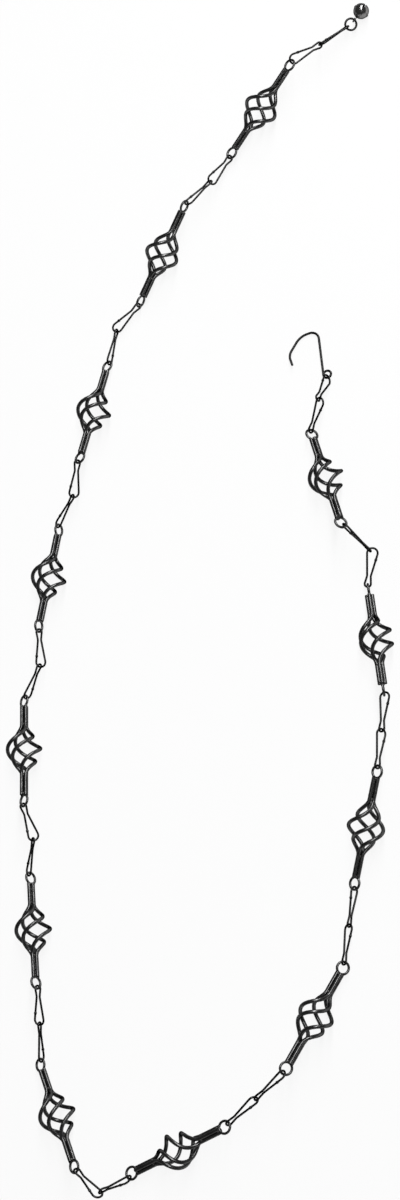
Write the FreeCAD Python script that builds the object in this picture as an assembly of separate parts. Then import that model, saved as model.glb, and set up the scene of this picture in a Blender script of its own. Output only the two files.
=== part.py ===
import FreeCAD
import Part
import math
import os

# A rain chain lying on a flat floor, in millimetres, +Z up.
# Twelve twisted baskets of four rods each hang on pairs of bent wire links, from a hook down to a round bell.

# Wire links: an hourglass loop, with the wide end towards the hook
LINK_LENGTH = 43.0
LINK_WIRE = 2.2
LINK_WIDE_END = 15.0
LINK_NARROW_END = 9.8
LINK_END_ROUNDING = 0.83
LINK_WAIST_GAP = 1.6
LINK_WAIST_FROM_END = 11.5
LINK_WAIST_BEND = 5.0
WELD_BEAD_LENGTH = 4.5
WELD_BEAD_THICKNESS = 3.1
WELD_BEAD_FROM_END = 12.0

# Baskets: four rods welded into a stem at both ends and twisted apart between them
BASKET_LENGTH = 115.0
ROD = 4.0
ROD_SPACING = 4.15
STEM_CORE = 3.0
CAGE_LENGTH = 54.0
CAGE_WIDTH = 40.5
CAGE_TWIST = 270.0
CAGE_FULLNESS = 1.6
CAGE_STEPS = 12
EYE = 15.2
EYE_WIRE = 2.6
EYE_WELD_DEPTH = 1.6

# Hook: a round wire with an eye at the foot of its shank
HOOK_WIRE = 2.6
HOOK_EYE = 11.0
HOOK_HEIGHT = 62.0
HOOK_WIDTH = 38.0
HOOK_SHOULDER = 12.0
HOOK_CURVE = 19.0
HOOK_SIDE = 22.0
HOOK_TIP = 12.0

# Bell: a hollow ball of two halves with a seam, a cross slot and a loop, hung on a ring
BELL_RING = 15.0
BELL_RING_WIRE = 2.4
BELL = 17.5
BELL_WALL = 0.9
BELL_SEAM_WIDTH = 1.6
BELL_SEAM_HEIGHT = 0.4
BELL_SLOT_WIDTH = 1.4
BELL_SLOT_HOLE = 3.0
BELL_LOOP = 7.6
BELL_LOOP_WIRE = 1.5
BELL_LOOP_WELD = 1.0
BELL_PEA = 5.0

# Fits: the play between two loops and that of the loose pea
LOOP_PLAY = 0.5
PEA_PLAY = 0.2

# Rest: the slope of a basket tipped over its belly, how far two links sag between their eyes,
# the height of the hook's eye and how many times a basket is laid again to bring it to the floor
BASKET_SLOPE = 10.5
LINK_SAG = 0.5
HOOK_EYE_HEIGHT = 7.5
SETTLE_STEPS = 4

# How the chain lies, from the hook down: headings in degrees from +X, and each loop's turn about its length.
# A stand is the slope of a link that stands up; None lets it slope from one eye to the next.
# Neighbouring loops lie 50 to 90 degrees apart, so that each can swing in the other.
HOOK_LAY = (-79, 0)
# Rows: first link's heading, turn and stand, second link's heading and turn,
# basket's heading and turn, and the end of the basket that is raised
BASKET_LAY = [
    (-98, 115, 34, -119, 20, -68, -41, "lower"),
    (-44, -104, None, -100, -21, -77, -100, "lower"),
    (-93, 22, None, -94, -54, -102, 27, "upper"),
    (-96, 107, None, -95, 38, -115, -35, "lower"),
    (-136, 42, None, -137, -61, -154, 10, "upper"),
    (-144, -73, 50, 141, 50, 118, -28, "upper"),
    (92, -95, None, 91, -15, 102, 66, "upper"),
    (78, -42, None, 108, 35, 99, -34, "upper"),
    (64, -101, None, 93, -7, 87, 75, "upper"),
    (55, -31, None, 80, 46, 82, -26, "upper"),
    (80, -94, None, 46, 2, 63, 86, "lower"),
    (53, -28, None, 60, 51, 53, -20, "lower"),
]
# The last two links, the bell's ring and the bell: heading and turn of each
LAST_LAY = [(36, 52), (44, -46), (50, 33), (56, 110)]

X_AXIS = FreeCAD.Vector(1, 0, 0)
Y_AXIS = FreeCAD.Vector(0, 1, 0)
Z_AXIS = FreeCAD.Vector(0, 0, 1)


def point(x, y=0.0, z=0.0):
    return FreeCAD.Vector(x, y, z)


def corner_arc(before, corner, after, radius):
    """The arc of that radius that rounds a corner, or the largest that its two runs leave room for."""
    run_in = corner - before
    run_out = after - corner
    way_in = FreeCAD.Vector(run_in).normalize()
    way_out = FreeCAD.Vector(run_out).normalize()
    half_turn = way_in.getAngle(way_out) / 2
    reach = 0.49 * min(run_in.Length, run_out.Length)
    if radius:
        reach = min(reach, radius * math.tan(half_turn))
    inwards = (way_out - way_in).normalize()
    bulge = reach / math.sin(half_turn) - reach / math.tan(half_turn)
    return Part.Arc(corner - way_in * reach, corner + inwards * bulge, corner + way_out * reach).toShape()


def rounded_path(corners, radii, closed=False):
    """Straight runs through the corners, joined by tangent arcs."""
    count = len(corners)
    inner = range(count) if closed else range(1, count - 1)
    arcs = [corner_arc(corners[i - 1], corners[i], corners[(i + 1) % count], radii[i]) for i in inner]
    edges = []
    start = arcs[-1].lastVertex().Point if closed else corners[0]
    for arc in arcs:
        edges.append(Part.LineSegment(start, arc.firstVertex().Point).toShape())
        edges.append(arc)
        start = arc.lastVertex().Point
    if not closed:
        edges.append(Part.LineSegment(start, corners[-1]).toShape())
    return Part.Wire(edges)


def bent_wire(path, diameter):
    """A round wire bent along a path."""
    first = path.Edges[0]
    start = first.valueAt(first.FirstParameter)
    section = Part.Wire(Part.makeCircle(diameter / 2, start, first.tangentAt(first.FirstParameter)))
    return path.makePipeShell([section], True, False)


def ring(outside, wire, centre, axis):
    return Part.makeTorus((outside - wire) / 2, wire / 2, centre, axis)


def link_bends():
    """The radii of the wire's middle line round a link's wide and narrow ends."""
    return [LINK_END_ROUNDING * (width - LINK_WIRE) / 2 for width in (LINK_WIDE_END, LINK_NARROW_END)]


def make_link():
    """An hourglass loop in the XY plane, with the wide end's wire crossing the X axis at 0."""
    half_wide = (LINK_WIDE_END - LINK_WIRE) / 2
    half_narrow = (LINK_NARROW_END - LINK_WIRE) / 2
    half_waist = (LINK_WAIST_GAP + LINK_WIRE) / 2
    length = LINK_LENGTH - LINK_WIRE
    waist = length - LINK_WAIST_FROM_END
    corners = [point(0, -half_wide), point(waist, -half_waist), point(length, -half_narrow),
               point(length, half_narrow), point(waist, half_waist), point(0, half_wide)]
    wide_bend, narrow_bend = link_bends()
    radii = [wide_bend, LINK_WAIST_BEND, narrow_bend, narrow_bend, LINK_WAIST_BEND, wide_bend]
    loop = bent_wire(rounded_path(corners, radii, closed=True), LINK_WIRE)
    side_way = (corners[4] - corners[5]).normalize()
    bead_middle = corners[5] + side_way * WELD_BEAD_FROM_END
    return loop.fuse(weld_bead(bead_middle, side_way))


def weld_bead(middle, way):
    """A barrel-shaped swelling of the wire where its two ends are welded."""
    half = WELD_BEAD_LENGTH / 2
    sunk = LINK_WIRE / 4
    crown = WELD_BEAD_THICKNESS / 2
    barrel = Part.Arc(point(-half, sunk), point(0, crown), point(half, sunk)).toShape()
    sides = Part.makePolygon([point(half, sunk), point(half), point(-half), point(-half, sunk)])
    bead = Part.Face(Part.Wire([barrel] + sides.Edges)).revolve(point(0), X_AXIS, 360)
    bead.Placement = FreeCAD.Placement(middle, FreeCAD.Rotation(X_AXIS, way))
    return bead


def rod_corners(end):
    """One rod of a basket: straight in the stem, then swelling and twisting through the cage."""
    stem_radius = ROD_SPACING / math.sqrt(2)
    belly_radius = (CAGE_WIDTH - ROD) / 2
    corners = [point(-end, stem_radius)]
    for step in range(CAGE_STEPS + 1):
        share = step / CAGE_STEPS
        swell = math.sin(math.pi * share) ** CAGE_FULLNESS
        radius = stem_radius + (belly_radius - stem_radius) * swell
        turn = math.radians(CAGE_TWIST * share)
        corners.append(point((share - 0.5) * CAGE_LENGTH, radius * math.cos(turn), radius * math.sin(turn)))
    last_turn = math.radians(CAGE_TWIST)
    corners.append(point(end, stem_radius * math.cos(last_turn), stem_radius * math.sin(last_turn)))
    return corners


def make_basket():
    """Four twisted rods, the weld between them in both stems and an eye at each end, in one plane."""
    eye_middle = (EYE - EYE_WIRE) / 2
    first_eye = eye_middle
    centre = first_eye + BASKET_LENGTH / 2
    stem_end = BASKET_LENGTH / 2 - eye_middle
    rod_end = stem_end - EYE_WIRE / 2 + EYE_WELD_DEPTH
    corners = rod_corners(rod_end)
    rod = bent_wire(rounded_path(corners, [None] * len(corners)), ROD)
    rods = []
    for quarter in range(4):
        turned = rod.copy()
        turned.rotate(point(0), X_AXIS, 90 * quarter)
        rods.append(turned)
    core_length = rod_end - CAGE_LENGTH / 2
    cores = [Part.makeCylinder(STEM_CORE / 2, core_length, point(x), X_AXIS)
             for x in (-rod_end, CAGE_LENGTH / 2)]
    eyes = [ring(EYE, EYE_WIRE, point(x), Z_AXIS) for x in (-BASKET_LENGTH / 2, BASKET_LENGTH / 2)]
    basket = rods[0].fuse(rods[1:] + cores + eyes)
    basket.translate(point(centre))
    return basket


def make_hook():
    """A round wire hook in the XY plane, with the lower wire of its eye crossing the X axis at 0."""
    eye_middle = (HOOK_EYE - HOOK_WIRE) / 2
    eye = ring(HOOK_EYE, HOOK_WIRE, point(-eye_middle), Z_AXIS)
    shank = -eye_middle
    top = -HOOK_HEIGHT + HOOK_WIRE
    side = shank - HOOK_WIDTH + HOOK_WIRE
    tip = top + HOOK_SIDE + HOOK_TIP
    crown = point(top + HOOK_WIRE, (shank + side) / 2 - HOOK_WIRE)
    corners = [point(-eye_middle, shank), point(top, shank), crown,
               point(top + HOOK_SIDE, side), point(tip, side + HOOK_WIRE)]
    path = rounded_path(corners, [None, HOOK_SHOULDER, HOOK_CURVE, HOOK_CURVE, None])
    rounded_tip = Part.makeSphere(HOOK_WIRE / 2, corners[-1])
    return bent_wire(path, HOOK_WIRE).fuse([eye, rounded_tip])


def make_bell_ring():
    return ring(BELL_RING, BELL_RING_WIRE, point((BELL_RING - BELL_RING_WIRE) / 2), Z_AXIS)


def bell_centre():
    loop_middle = (BELL_LOOP - BELL_LOOP_WIRE) / 2
    return point(2 * loop_middle - BELL_LOOP_WIRE / 2 + BELL_LOOP_WELD + BELL / 2)


def make_bell():
    """A hollow ball with a raised seam, a cross slot and a loop whose wire crosses the X axis at 0."""
    centre = bell_centre()
    radius = BELL / 2
    ball = Part.makeSphere(radius, centre)
    seam_start = centre - X_AXIS * (BELL_SEAM_WIDTH / 2)
    ball = ball.fuse(Part.makeCylinder(radius + BELL_SEAM_HEIGHT, BELL_SEAM_WIDTH, seam_start, X_AXIS))
    loop = ring(BELL_LOOP, BELL_LOOP_WIRE, point((BELL_LOOP - BELL_LOOP_WIRE) / 2), Z_AXIS)
    bell = ball.fuse(loop).cut(Part.makeSphere(radius - BELL_WALL, centre))
    slot_reach = BELL * 0.4
    for way in (Y_AXIS, Z_AXIS):
        for side in (-1, 1):
            hole = centre + way * (side * slot_reach)
            bell = bell.cut(Part.makeCylinder(BELL_SLOT_HOLE / 2, BELL, hole, X_AXIS))
    for width, height in ((2 * slot_reach, BELL_SLOT_WIDTH), (BELL_SLOT_WIDTH, 2 * slot_reach)):
        corner = centre - Y_AXIS * (width / 2) - Z_AXIS * (height / 2)
        bell = bell.cut(Part.makeBox(BELL, width, height, corner))
    return bell


def flattened(way, normal):
    """A direction laid into the plane of a loop."""
    return (way - normal * way.dot(normal)).normalize()


def lie(lay, slope):
    """The rotation of a piece turned about its own length, tipped to a slope and laid along a heading."""
    heading, turn = lay
    tipped = FreeCAD.Rotation(Y_AXIS, -slope) * FreeCAD.Rotation(X_AXIS, turn)
    return FreeCAD.Rotation(Z_AXIS, heading) * tipped


def put(shape, start, rotation):
    placed = shape.copy()
    placed.Placement = FreeCAD.Placement(start, rotation).multiply(shape.Placement)
    return placed


class Loop:
    """One end of a piece: the wire's thickness, the radius of its bend and the normal of the loop's plane."""

    def __init__(self, wire, bend, normal=Z_AXIS):
        self.wire = wire
        self.bend = bend
        self.normal = normal


class Chain:
    """Lays the pieces one after another, each hooked into the loop before it."""

    def __init__(self):
        self.pieces = []
        self.swings = []
        self.end = point(0, 0, HOOK_EYE_HEIGHT)
        self.way = None
        self.loop = None

    def lay(self, name, shape, span, first, last, lay, slope):
        """Hooks a piece into the last one and lays it as it lies."""
        rotation = lie(lay, slope)
        way = rotation.multVec(X_AXIS)
        start = self.end
        if self.loop is not None:
            start = self.hook_in(name, first, way, rotation.multVec(first.normal))
        self.pieces.append((name, put(shape, start, rotation)))
        self.end = start + way * span
        self.way = way
        self.loop = Loop(last.wire, last.bend, rotation.multVec(last.normal))

    def hook_in(self, name, first, way, normal):
        """Where a piece starts whose first loop hangs in the last one with the play between their wires."""
        held_way = flattened(way, self.loop.normal)
        holding_way = flattened(self.way, normal)
        between = (held_way + holding_way).normalize()
        gap = (self.loop.wire + first.wire) / 2 + LOOP_PLAY
        holder = self.end + (held_way - self.way) * self.loop.bend
        held = holder - between * gap
        holder_axis = self.loop.normal.cross(held_way)
        held_axis = normal.cross(holding_way)
        if abs(holder_axis.z) < abs(held_axis.z):
            self.swings.append((name, holder, holder_axis))
        else:
            self.swings.append((name, held, held_axis))
        return held + (holding_way - way) * first.bend

    def mark(self):
        return len(self.pieces), len(self.swings), self.end, self.way, self.loop

    def back_to(self, mark):
        """Takes up what was laid since a mark."""
        laid, swung, self.end, self.way, self.loop = mark
        del self.pieces[laid:]
        del self.swings[swung:]

    def lowest(self):
        """How high the lowest point of the last piece is."""
        return self.pieces[-1][1].optimalBoundingBox(False).ZMin

    def slope_to(self, height, span):
        """The slope that brings a piece's far end to a height."""
        share = (height - self.end.z) / span
        return math.degrees(math.asin(max(-0.95, min(0.95, share))))

    def sag_to(self, height, span):
        """The slope of the first of two links that together lead to a height."""
        low = min(self.end.z, height)
        return self.slope_to(low + LINK_SAG * abs(self.end.z - height), span)


def lay_chain():
    chain = Chain()
    link = make_link()
    basket = make_basket()
    link_span = LINK_LENGTH - LINK_WIRE
    basket_span = BASKET_LENGTH + EYE - EYE_WIRE
    slopes = {"upper": -BASKET_SLOPE, "lower": BASKET_SLOPE}
    wide_end, narrow_end = [Loop(LINK_WIRE, bend) for bend in link_bends()]
    eye = Loop(EYE_WIRE, (EYE - EYE_WIRE) / 2)
    hook_eye = Loop(HOOK_WIRE, (HOOK_EYE - HOOK_WIRE) / 2)
    bell_ring = Loop(BELL_RING_WIRE, (BELL_RING - BELL_RING_WIRE) / 2)
    bell_loop = Loop(BELL_LOOP_WIRE, (BELL_LOOP - BELL_LOOP_WIRE) / 2)

    hook_slope = math.degrees(math.asin((HOOK_EYE_HEIGHT - HOOK_WIRE / 2) / HOOK_HEIGHT))
    chain.lay("hanging_hook", make_hook(), 0, hook_eye, hook_eye, HOOK_LAY, hook_slope)
    for number, row in enumerate(BASKET_LAY, 1):
        target = EYE
        mark = chain.mark()
        for attempt in range(SETTLE_STEPS):
            chain.back_to(mark)
            slope = chain.sag_to(target, link_span) if row[2] is None else row[2]
            chain.lay("link_%02d" % (2 * number - 1), link, link_span, wide_end, narrow_end, row[0:2], slope)
            slope = chain.slope_to(target, link_span)
            chain.lay("link_%02d" % (2 * number), link, link_span, wide_end, narrow_end, row[3:5], slope)
            slope = slopes[row[7]]
            chain.lay("basket_%02d" % number, basket, basket_span, eye, eye, row[5:7], slope)
            target -= chain.lowest()
    count = 2 * len(BASKET_LAY)

    bell_height = BELL / 2 + BELL_SEAM_HEIGHT
    slope = chain.sag_to(bell_height, link_span)
    chain.lay("link_%02d" % (count + 1), link, link_span, wide_end, narrow_end, LAST_LAY[0], slope)
    slope = chain.slope_to(bell_height, link_span)
    chain.lay("link_%02d" % (count + 2), link, link_span, wide_end, narrow_end, LAST_LAY[1], slope)
    chain.lay("bell_ring", make_bell_ring(), BELL_RING - BELL_RING_WIRE, bell_ring, bell_ring, LAST_LAY[2], 0)
    slope = chain.slope_to(bell_height, bell_centre().x)
    chain.lay("bell", make_bell(), bell_centre().x, bell_loop, bell_loop, LAST_LAY[3], slope)
    pea = chain.end - Z_AXIS * (BELL / 2 - BELL_WALL - BELL_PEA / 2 - PEA_PLAY)
    chain.pieces.append(("bell_pea", Part.makeSphere(BELL_PEA / 2, pea)))
    return chain


def main():
    chain = lay_chain()
    box = FreeCAD.BoundBox()
    for name, shape in chain.pieces:
        box.add(shape.optimalBoundingBox(False))
    home = point(-box.Center.x, -box.Center.y, -box.ZMin)
    os.makedirs("parts", exist_ok=True)
    for name, shape in chain.pieces:
        shape.translate(home)
        shape.exportStep("parts/%s.step" % name)
    print("home %.3f %.3f %.3f size %.3f %.3f %.3f" % (*home, box.XLength, box.YLength, box.ZLength))
    for name, pivot, axis in chain.swings:
        print("swing %s at %.3f %.3f %.3f about %.5f %.5f %.5f" % (name, *(pivot + home), *axis))


main()
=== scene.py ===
import bpy
import numpy as np
from mathutils import Matrix, Vector


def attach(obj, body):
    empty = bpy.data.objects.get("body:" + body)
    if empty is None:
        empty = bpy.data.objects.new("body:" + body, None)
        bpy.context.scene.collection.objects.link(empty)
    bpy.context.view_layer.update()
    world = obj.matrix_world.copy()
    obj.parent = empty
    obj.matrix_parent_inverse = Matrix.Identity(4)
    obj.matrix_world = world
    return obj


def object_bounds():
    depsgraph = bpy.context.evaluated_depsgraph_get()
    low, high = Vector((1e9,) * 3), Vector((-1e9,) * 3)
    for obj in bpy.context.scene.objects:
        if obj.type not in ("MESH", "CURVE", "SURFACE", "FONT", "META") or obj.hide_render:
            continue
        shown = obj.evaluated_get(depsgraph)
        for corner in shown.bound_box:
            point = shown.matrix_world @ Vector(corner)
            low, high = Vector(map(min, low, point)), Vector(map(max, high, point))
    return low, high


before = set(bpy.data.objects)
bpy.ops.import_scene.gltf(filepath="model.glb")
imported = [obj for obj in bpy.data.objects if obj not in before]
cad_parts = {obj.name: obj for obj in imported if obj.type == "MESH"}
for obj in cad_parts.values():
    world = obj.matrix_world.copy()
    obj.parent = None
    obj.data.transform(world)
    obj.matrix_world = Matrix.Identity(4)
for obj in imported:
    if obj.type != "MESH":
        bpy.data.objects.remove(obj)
cad_low, cad_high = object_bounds()

# The chain lies on a white floor and is seen from above, a little from the right.
# Camera: its place, the picture's right and up directions, the lens for a picture 36 mm tall, and how near
# and how far it sees
CAMERA_PLACE = (0.7747, -0.6376, 2.3319)
PICTURE_RIGHT = (0.9507, 0.0610, -0.3041)
PICTURE_UP = (0.0171, 0.9687, 0.2476)
PICTURE_HEIGHT = 36.0
LENS = 71.2
NEAREST_SEEN = 0.01
FURTHEST_SEEN = 60.0

# Light: where the white walls end and the ceiling starts, as heights on a ball round the chain, how light the
# ceiling is, and the strip light, which hangs above the camera with its length along the chain
WALL_TOP = 0.04
CEILING_START = 0.12
CEILING_LIGHT = 0.12
STRIP_LIGHT_PLACE = (0.92, 1.50, 2.75)
STRIP_LIGHT_WIDTH = 0.35
STRIP_LIGHT_LENGTH = 5.0
STRIP_LIGHT_POWER = 135.0

# Floor: how far it reaches each way, how far it lies below the chain, and how clear its film is
FLOOR_REACH = 30.0
FLOOR_GAP = 0.0003
FLOOR_CLEARNESS = 0.88

# Weld drops in the grooves between a basket's rods: how far from the basket's middle, how deep and how large.
# The grooves are found at the stems' outer rims, on the points that lie furthest from the basket's axis.
STEM_RIM_START = 0.0505
STEM_RIM_END = 0.0520
STEM_RIM_RADIUS = 0.0046
STEM_INNER_END = 0.0295
STEM_OUTER_END = 0.0502
GROOVE_DEPTH = 0.0030
INNER_DROP = 0.00115
OUTER_DROP = 0.00105
DROP_LUMPS = 0.0007
DROP_SEED = 7


# Materials

def start_material(name):
    """A new material with its shader and object coordinates."""
    material = bpy.data.materials.new(name)
    material.use_nodes = True
    nodes = material.node_tree.nodes
    shader = nodes["Principled BSDF"]
    place = nodes.new("ShaderNodeTexCoord")
    return material, nodes, material.node_tree.links, shader, place.outputs["Object"]


def add_noise(nodes, links, place, scale, detail, roughness=0.55):
    noise = nodes.new("ShaderNodeTexNoise")
    noise.inputs["Scale"].default_value = scale
    noise.inputs["Detail"].default_value = detail
    noise.inputs["Roughness"].default_value = roughness
    links.new(place, noise.inputs["Vector"])
    return noise.outputs["Fac"]


def add_ramp(nodes, links, factor, stops):
    """A colour ramp through (position, grey or colour) stops."""
    ramp = nodes.new("ShaderNodeValToRGB")
    ramp.color_ramp.elements.remove(ramp.color_ramp.elements[0])
    for index, (position, colour) in enumerate(stops):
        if index == 0:
            stop = ramp.color_ramp.elements[0]
            stop.position = position
        else:
            stop = ramp.color_ramp.elements.new(position)
        stop.color = (*colour, 1.0)
    links.new(factor, ramp.inputs["Fac"])
    return ramp.outputs["Color"]


def add_range(nodes, links, value, low, high, to_low, to_high):
    span = nodes.new("ShaderNodeMapRange")
    span.inputs["From Min"].default_value = low
    span.inputs["From Max"].default_value = high
    span.inputs["To Min"].default_value = to_low
    span.inputs["To Max"].default_value = to_high
    links.new(value, span.inputs["Value"])
    return span.outputs["Result"]


def add_mix(nodes, links, factor, first, second):
    mix = nodes.new("ShaderNodeMix")
    mix.data_type = "RGBA"
    links.new(factor, mix.inputs["Factor"])
    links.new(first, mix.inputs["A"])
    links.new(second, mix.inputs["B"])
    return mix.outputs["Result"]


def add_bump(nodes, links, shader, height, strength, distance):
    bump = nodes.new("ShaderNodeBump")
    bump.inputs["Strength"].default_value = strength
    bump.inputs["Distance"].default_value = distance
    links.new(height, bump.inputs["Height"])
    links.new(bump.outputs["Normal"], shader.inputs["Normal"])


def blackened_iron(name, dark, middle, light):
    """Blackened iron under thin satin lacquer: soft mottling, fine grain and a few rubbed flecks."""
    material, nodes, links, shader, place = start_material(name)
    mottle = add_noise(nodes, links, place, 140.0, 5.0)
    black = add_ramp(nodes, links, mottle, [(0.30, (dark,) * 3), (0.55, (middle,) * 3), (0.78, (light,) * 3)])
    rub = add_noise(nodes, links, place, 420.0, 8.0, 0.7)
    rubbed = add_range(nodes, links, rub, 0.66, 0.74, 0.0, 0.55)
    bare = add_ramp(nodes, links, mottle, [(0.35, (0.10, 0.098, 0.096)), (0.65, (0.17, 0.168, 0.165))])
    links.new(add_mix(nodes, links, rubbed, black, bare), shader.inputs["Base Color"])
    sheen = add_noise(nodes, links, place, 260.0, 4.0)
    links.new(add_range(nodes, links, sheen, 0.3, 0.7, 0.24, 0.34), shader.inputs["Roughness"])
    shader.inputs["Metallic"].default_value = 1.0
    shader.inputs["Specular Tint"].default_value = (0.02, 0.02, 0.02, 1.0)
    add_bump(nodes, links, shader, add_noise(nodes, links, place, 1500.0, 3.0), 0.25, 0.00005)
    return material


def polished_nickel():
    """Dark polished plating of the bell, smudged and a little dented."""
    material, nodes, links, shader, place = start_material("polished_nickel")
    tone = add_noise(nodes, links, place, 90.0, 4.0)
    links.new(add_ramp(nodes, links, tone, [(0.3, (0.09, 0.09, 0.092)), (0.7, (0.26, 0.257, 0.254))]),
              shader.inputs["Base Color"])
    smudge = add_noise(nodes, links, place, 500.0, 5.0)
    links.new(add_range(nodes, links, smudge, 0.3, 0.75, 0.07, 0.22), shader.inputs["Roughness"])
    shader.inputs["Metallic"].default_value = 1.0
    shader.inputs["Specular Tint"].default_value = (0.10, 0.10, 0.10, 1.0)
    add_bump(nodes, links, shader, add_noise(nodes, links, place, 330.0, 2.0), 0.6, 0.0008)
    return material


def plain_steel():
    """The loose pea: bare steel with fine marks."""
    material, nodes, links, shader, place = start_material("plain_steel")
    tone = add_noise(nodes, links, place, 400.0, 4.0)
    links.new(add_ramp(nodes, links, tone, [(0.3, (0.30, 0.30, 0.31)), (0.7, (0.48, 0.48, 0.49))]),
              shader.inputs["Base Color"])
    links.new(add_range(nodes, links, tone, 0.3, 0.7, 0.22, 0.38), shader.inputs["Roughness"])
    shader.inputs["Metallic"].default_value = 1.0
    return material


def weld_metal():
    """Weld drops: grey and rough where the paint is thin, with burnt patches."""
    material, nodes, links, shader, place = start_material("weld_metal")
    burn = add_noise(nodes, links, place, 650.0, 5.0)
    links.new(add_ramp(nodes, links, burn, [(0.34, (0.022, 0.021, 0.021)), (0.52, (0.085, 0.082, 0.08)),
                                            (0.72, (0.30, 0.295, 0.29))]), shader.inputs["Base Color"])
    links.new(add_range(nodes, links, burn, 0.3, 0.7, 0.48, 0.30), shader.inputs["Roughness"])
    shader.inputs["Metallic"].default_value = 0.55
    add_bump(nodes, links, shader, add_noise(nodes, links, place, 1800.0, 4.0), 0.45, 0.00012)
    return material


def white_floor():
    """Thin white film that keeps the chain's soft shadow. The white room below shows through it, to the
    camera and in the metal, so a piece that swings below the floor is still seen."""
    material, nodes, links, shader, place = start_material("white_floor")
    grain = add_noise(nodes, links, place, 30.0, 3.0)
    links.new(add_ramp(nodes, links, grain, [(0.3, (0.93, 0.93, 0.93)), (0.7, (0.95, 0.95, 0.95))]),
              shader.inputs["Base Color"])
    shader.inputs["Roughness"].default_value = 0.9
    shader.inputs["Specular IOR Level"].default_value = 0.0
    path = nodes.new("ShaderNodeLightPath")
    seen = nodes.new("ShaderNodeMath")
    seen.operation = "MAXIMUM"
    links.new(path.outputs["Is Camera Ray"], seen.inputs[0])
    links.new(path.outputs["Is Glossy Ray"], seen.inputs[1])
    seen_through = nodes.new("ShaderNodeMath")
    seen_through.operation = "MAXIMUM"
    links.new(seen.outputs[0], seen_through.inputs[0])
    links.new(path.outputs["Is Transmission Ray"], seen_through.inputs[1])
    share = nodes.new("ShaderNodeMath")
    share.operation = "MULTIPLY"
    share.inputs[1].default_value = FLOOR_CLEARNESS
    links.new(seen_through.outputs[0], share.inputs[0])
    clear = nodes.new("ShaderNodeBsdfTransparent")
    blend = nodes.new("ShaderNodeMixShader")
    links.new(share.outputs[0], blend.inputs["Fac"])
    links.new(shader.outputs["BSDF"], blend.inputs[1])
    links.new(clear.outputs["BSDF"], blend.inputs[2])
    links.new(blend.outputs["Shader"], nodes["Material Output"].inputs["Surface"])
    return material


def dress_nodes():
    """Gives every carried-over piece its finish: the thin wire is blacker than the baskets' rods."""
    rod = blackened_iron("blackened_rod", 0.065, 0.095, 0.140)
    wire = blackened_iron("blackened_wire", 0.020, 0.032, 0.055)
    finishes = {"bell": polished_nickel(), "bell_pea": plain_steel()}
    for name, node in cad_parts.items():
        finish = finishes.get(name, rod if name.startswith("basket") else wire)
        for slot in node.material_slots:
            slot.material = finish


# Weld drops on the baskets

def drop_tree():
    """Lumpy drops on every point of a mesh, each as large as its point says."""
    tree = bpy.data.node_groups.new("weld_drops", "GeometryNodeTree")
    tree.interface.new_socket("Grooves", in_out="INPUT", socket_type="NodeSocketGeometry")
    tree.interface.new_socket("Lumps", in_out="INPUT", socket_type="NodeSocketFloat")
    tree.interface.new_socket("Seed", in_out="INPUT", socket_type="NodeSocketInt")
    tree.interface.new_socket("Finish", in_out="INPUT", socket_type="NodeSocketMaterial")
    tree.interface.new_socket("Drops", in_out="OUTPUT", socket_type="NodeSocketGeometry")
    nodes, links = tree.nodes, tree.links
    given = nodes.new("NodeGroupInput")
    made = nodes.new("NodeGroupOutput")

    drop = nodes.new("GeometryNodeMeshIcoSphere")
    drop.inputs["Radius"].default_value = 1.0
    drop.inputs["Subdivisions"].default_value = 2

    size = nodes.new("GeometryNodeInputNamedAttribute")
    size.data_type = "FLOAT"
    size.inputs["Name"].default_value = "drop_size"
    vary = nodes.new("FunctionNodeRandomValue")
    vary.data_type = "FLOAT_VECTOR"
    vary.inputs[0].default_value = (0.8, 0.8, 0.8)
    vary.inputs[1].default_value = (1.2, 1.2, 1.2)
    links.new(given.outputs["Seed"], vary.inputs["Seed"])
    sized = nodes.new("ShaderNodeVectorMath")
    sized.operation = "SCALE"
    links.new(vary.outputs["Value"], sized.inputs[0])
    links.new(size.outputs["Attribute"], sized.inputs["Scale"])

    instances = nodes.new("GeometryNodeInstanceOnPoints")
    links.new(given.outputs["Grooves"], instances.inputs["Points"])
    links.new(drop.outputs["Mesh"], instances.inputs["Instance"])
    links.new(sized.outputs["Vector"], instances.inputs["Scale"])
    real = nodes.new("GeometryNodeRealizeInstances")
    links.new(instances.outputs["Instances"], real.inputs["Geometry"])

    place = nodes.new("GeometryNodeInputPosition")
    lump = nodes.new("ShaderNodeTexNoise")
    lump.inputs["Scale"].default_value = 900.0
    lump.inputs["Detail"].default_value = 2.0
    links.new(place.outputs["Position"], lump.inputs["Vector"])
    centred = nodes.new("ShaderNodeMath")
    centred.operation = "SUBTRACT"
    centred.inputs[1].default_value = 0.5
    links.new(lump.outputs["Fac"], centred.inputs[0])
    reach = nodes.new("ShaderNodeMath")
    reach.operation = "MULTIPLY"
    links.new(centred.outputs[0], reach.inputs[0])
    links.new(given.outputs["Lumps"], reach.inputs[1])
    normal = nodes.new("GeometryNodeInputNormal")
    push = nodes.new("ShaderNodeVectorMath")
    push.operation = "SCALE"
    links.new(normal.outputs["Normal"], push.inputs[0])
    links.new(reach.outputs[0], push.inputs["Scale"])
    moved = nodes.new("GeometryNodeSetPosition")
    links.new(real.outputs["Geometry"], moved.inputs["Geometry"])
    links.new(push.outputs["Vector"], moved.inputs["Offset"])
    smooth = nodes.new("GeometryNodeSetShadeSmooth")
    links.new(moved.outputs["Geometry"], smooth.inputs["Geometry"])
    finish = nodes.new("GeometryNodeSetMaterial")
    links.new(smooth.outputs["Geometry"], finish.inputs["Geometry"])
    links.new(given.outputs["Finish"], finish.inputs["Material"])
    links.new(finish.outputs["Geometry"], made.inputs["Drops"])
    return tree


def read_points(node):
    points = np.empty(len(node.data.vertices) * 3)
    node.data.vertices.foreach_get("co", points)
    return points.reshape(-1, 3)


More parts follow.
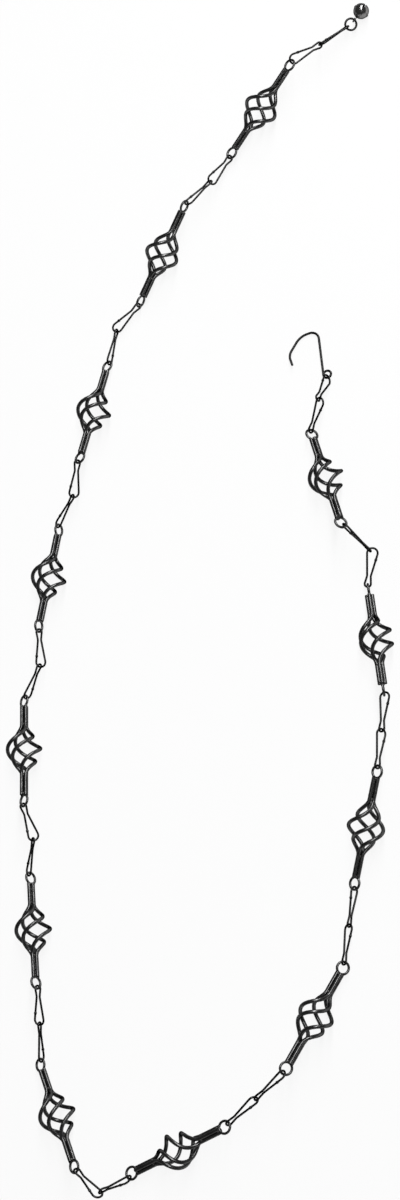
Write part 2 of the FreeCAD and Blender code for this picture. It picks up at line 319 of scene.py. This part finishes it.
def basket_frame(points):
    """A basket's middle, its long axis and two directions across it."""
    middle = points.mean(0)
    axis = np.linalg.eigh(np.cov((points - middle).T))[1][:, 2]
    along = (points - middle) @ axis
    middle = middle + axis * (along.min() + along.max()) / 2
    side = np.cross(axis, (0.0, 0.0, 1.0))
    side /= np.linalg.norm(side)
    return middle, axis, side, np.cross(axis, side)


def groove_angle(points, middle, axis, side, other, end):
    """The turn of the first groove between the rods of the stem on one side of the middle."""
    away = points - middle
    along = away @ axis * end
    x, y = away @ side, away @ other
    radius = np.hypot(x, y)
    rim = (along > STEM_RIM_START) & (along < STEM_RIM_END) & (radius > STEM_RIM_RADIUS)
    rods = np.angle(np.exp(4j * np.arctan2(y[rim], x[rim])).mean()) / 4
    return rods + np.pi / 4


def weld_points(node):
    """Places and sizes of a basket's weld drops, in the grooves at both ends of both stems."""
    points = read_points(node)
    middle, axis, side, other = basket_frame(points)
    places, sizes = [], []
    for end in (-1, 1):
        first = groove_angle(points, middle, axis, side, other, end)
        for quarter in range(4):
            turn = first + quarter * np.pi / 2
            across = (side * np.cos(turn) + other * np.sin(turn)) * GROOVE_DEPTH
            for reach, size in ((STEM_INNER_END, INNER_DROP), (STEM_OUTER_END, OUTER_DROP)):
                places.append(middle + axis * (end * reach) + across)
                sizes.append(size)
    return places, sizes


def weld_drops(name, tree, finish, seed):
    """The weld drops of one basket, as a plain mesh that rides on it."""
    places, sizes = weld_points(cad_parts[name])
    grooves = bpy.data.meshes.new(name + "_grooves")
    grooves.from_pydata([tuple(p) for p in places], [], [])
    size = grooves.attributes.new("drop_size", "FLOAT", "POINT")
    size.data.foreach_set("value", sizes)
    maker = bpy.data.objects.new(name + "_grooves", grooves)
    bpy.context.scene.collection.objects.link(maker)
    modifier = maker.modifiers.new("weld_drops", "NODES")
    modifier.node_group = tree
    sockets = {item.name: item.identifier for item in tree.interface.items_tree if item.in_out == "INPUT"}
    modifier[sockets["Lumps"]] = DROP_LUMPS
    modifier[sockets["Seed"]] = seed
    modifier[sockets["Finish"]] = finish
    made = maker.evaluated_get(bpy.context.evaluated_depsgraph_get())
    mesh = bpy.data.meshes.new_from_object(made)
    maker.modifiers.remove(modifier)
    bpy.data.objects.remove(maker)
    bpy.data.meshes.remove(grooves)
    mesh.name = name + "_welds"
    piece = bpy.data.objects.new(name + "_welds", mesh)
    bpy.context.scene.collection.objects.link(piece)
    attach(piece, name)
    return piece


# Stage: floor, light and camera

def lay_floor(material):
    mesh = bpy.data.meshes.new("floor")
    corners = [(x * FLOOR_REACH, y * FLOOR_REACH, 0) for x, y in ((-1, -1), (1, -1), (1, 1), (-1, 1))]
    mesh.from_pydata(corners, [], [(0, 1, 2, 3)])
    floor = bpy.data.objects.new("floor", mesh)
    floor.location = (0, 0, cad_low.z - FLOOR_GAP)
    floor.data.materials.append(material)
    bpy.context.scene.collection.objects.link(floor)


def hang_strip_light():
    """A soft strip that faces the chain's middle, with its length along the chain."""
    lamp = bpy.data.lights.new("strip_light", "AREA")
    lamp.shape = "RECTANGLE"
    lamp.size = STRIP_LIGHT_WIDTH
    lamp.size_y = STRIP_LIGHT_LENGTH
    lamp.energy = STRIP_LIGHT_POWER
    back = Vector(STRIP_LIGHT_PLACE).normalized()
    side = Vector((0, 1, 0)).cross(back).normalized()
    turn = Matrix((side, back.cross(side), back)).transposed().to_4x4()
    light = bpy.data.objects.new("strip_light", lamp)
    light.matrix_world = Matrix.Translation(STRIP_LIGHT_PLACE) @ turn
    bpy.context.scene.collection.objects.link(light)


def light_room():
    """A room that is white low down and below, with a darker ceiling, and the strip light."""
    world = bpy.data.worlds.new("room")
    bpy.context.scene.world = world
    world.use_nodes = True
    nodes, links = world.node_tree.nodes, world.node_tree.links
    way = nodes.new("ShaderNodeTexCoord")
    parts = nodes.new("ShaderNodeSeparateXYZ")
    links.new(way.outputs["Generated"], parts.inputs["Vector"])
    walls = add_range(nodes, links, parts.outputs["Z"], WALL_TOP, CEILING_START, 1.0, CEILING_LIGHT)
    links.new(walls, nodes["Background"].inputs["Strength"])
    nodes["Background"].inputs["Color"].default_value = (1.0, 1.0, 1.0, 1.0)
    hang_strip_light()


def set_camera():
    right = Vector(PICTURE_RIGHT).normalized()
    up = Vector(PICTURE_UP)
    up = (up - right * up.dot(right)).normalized()
    back = right.cross(up)
    turn = Matrix((right, up, back)).transposed().to_4x4()
    lens = bpy.data.cameras.new("camera")
    lens.sensor_fit = "VERTICAL"
    lens.sensor_height = PICTURE_HEIGHT
    lens.lens = LENS
    lens.clip_start = NEAREST_SEEN
    lens.clip_end = FURTHEST_SEEN
    camera = bpy.data.objects.new("camera", lens)
    camera.matrix_world = Matrix.Translation(CAMERA_PLACE) @ turn
    bpy.context.scene.collection.objects.link(camera)
    bpy.context.scene.camera = camera


def main():
    bpy.context.scene.view_settings.view_transform = "Standard"
    dress_nodes()
    tree, weld = drop_tree(), weld_metal()
    baskets = sorted(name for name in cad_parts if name.startswith("basket"))
    for number, name in enumerate(baskets):
        weld_drops(name, tree, weld, DROP_SEED + number)
    lay_floor(white_floor())
    light_room()
    set_camera()


main()
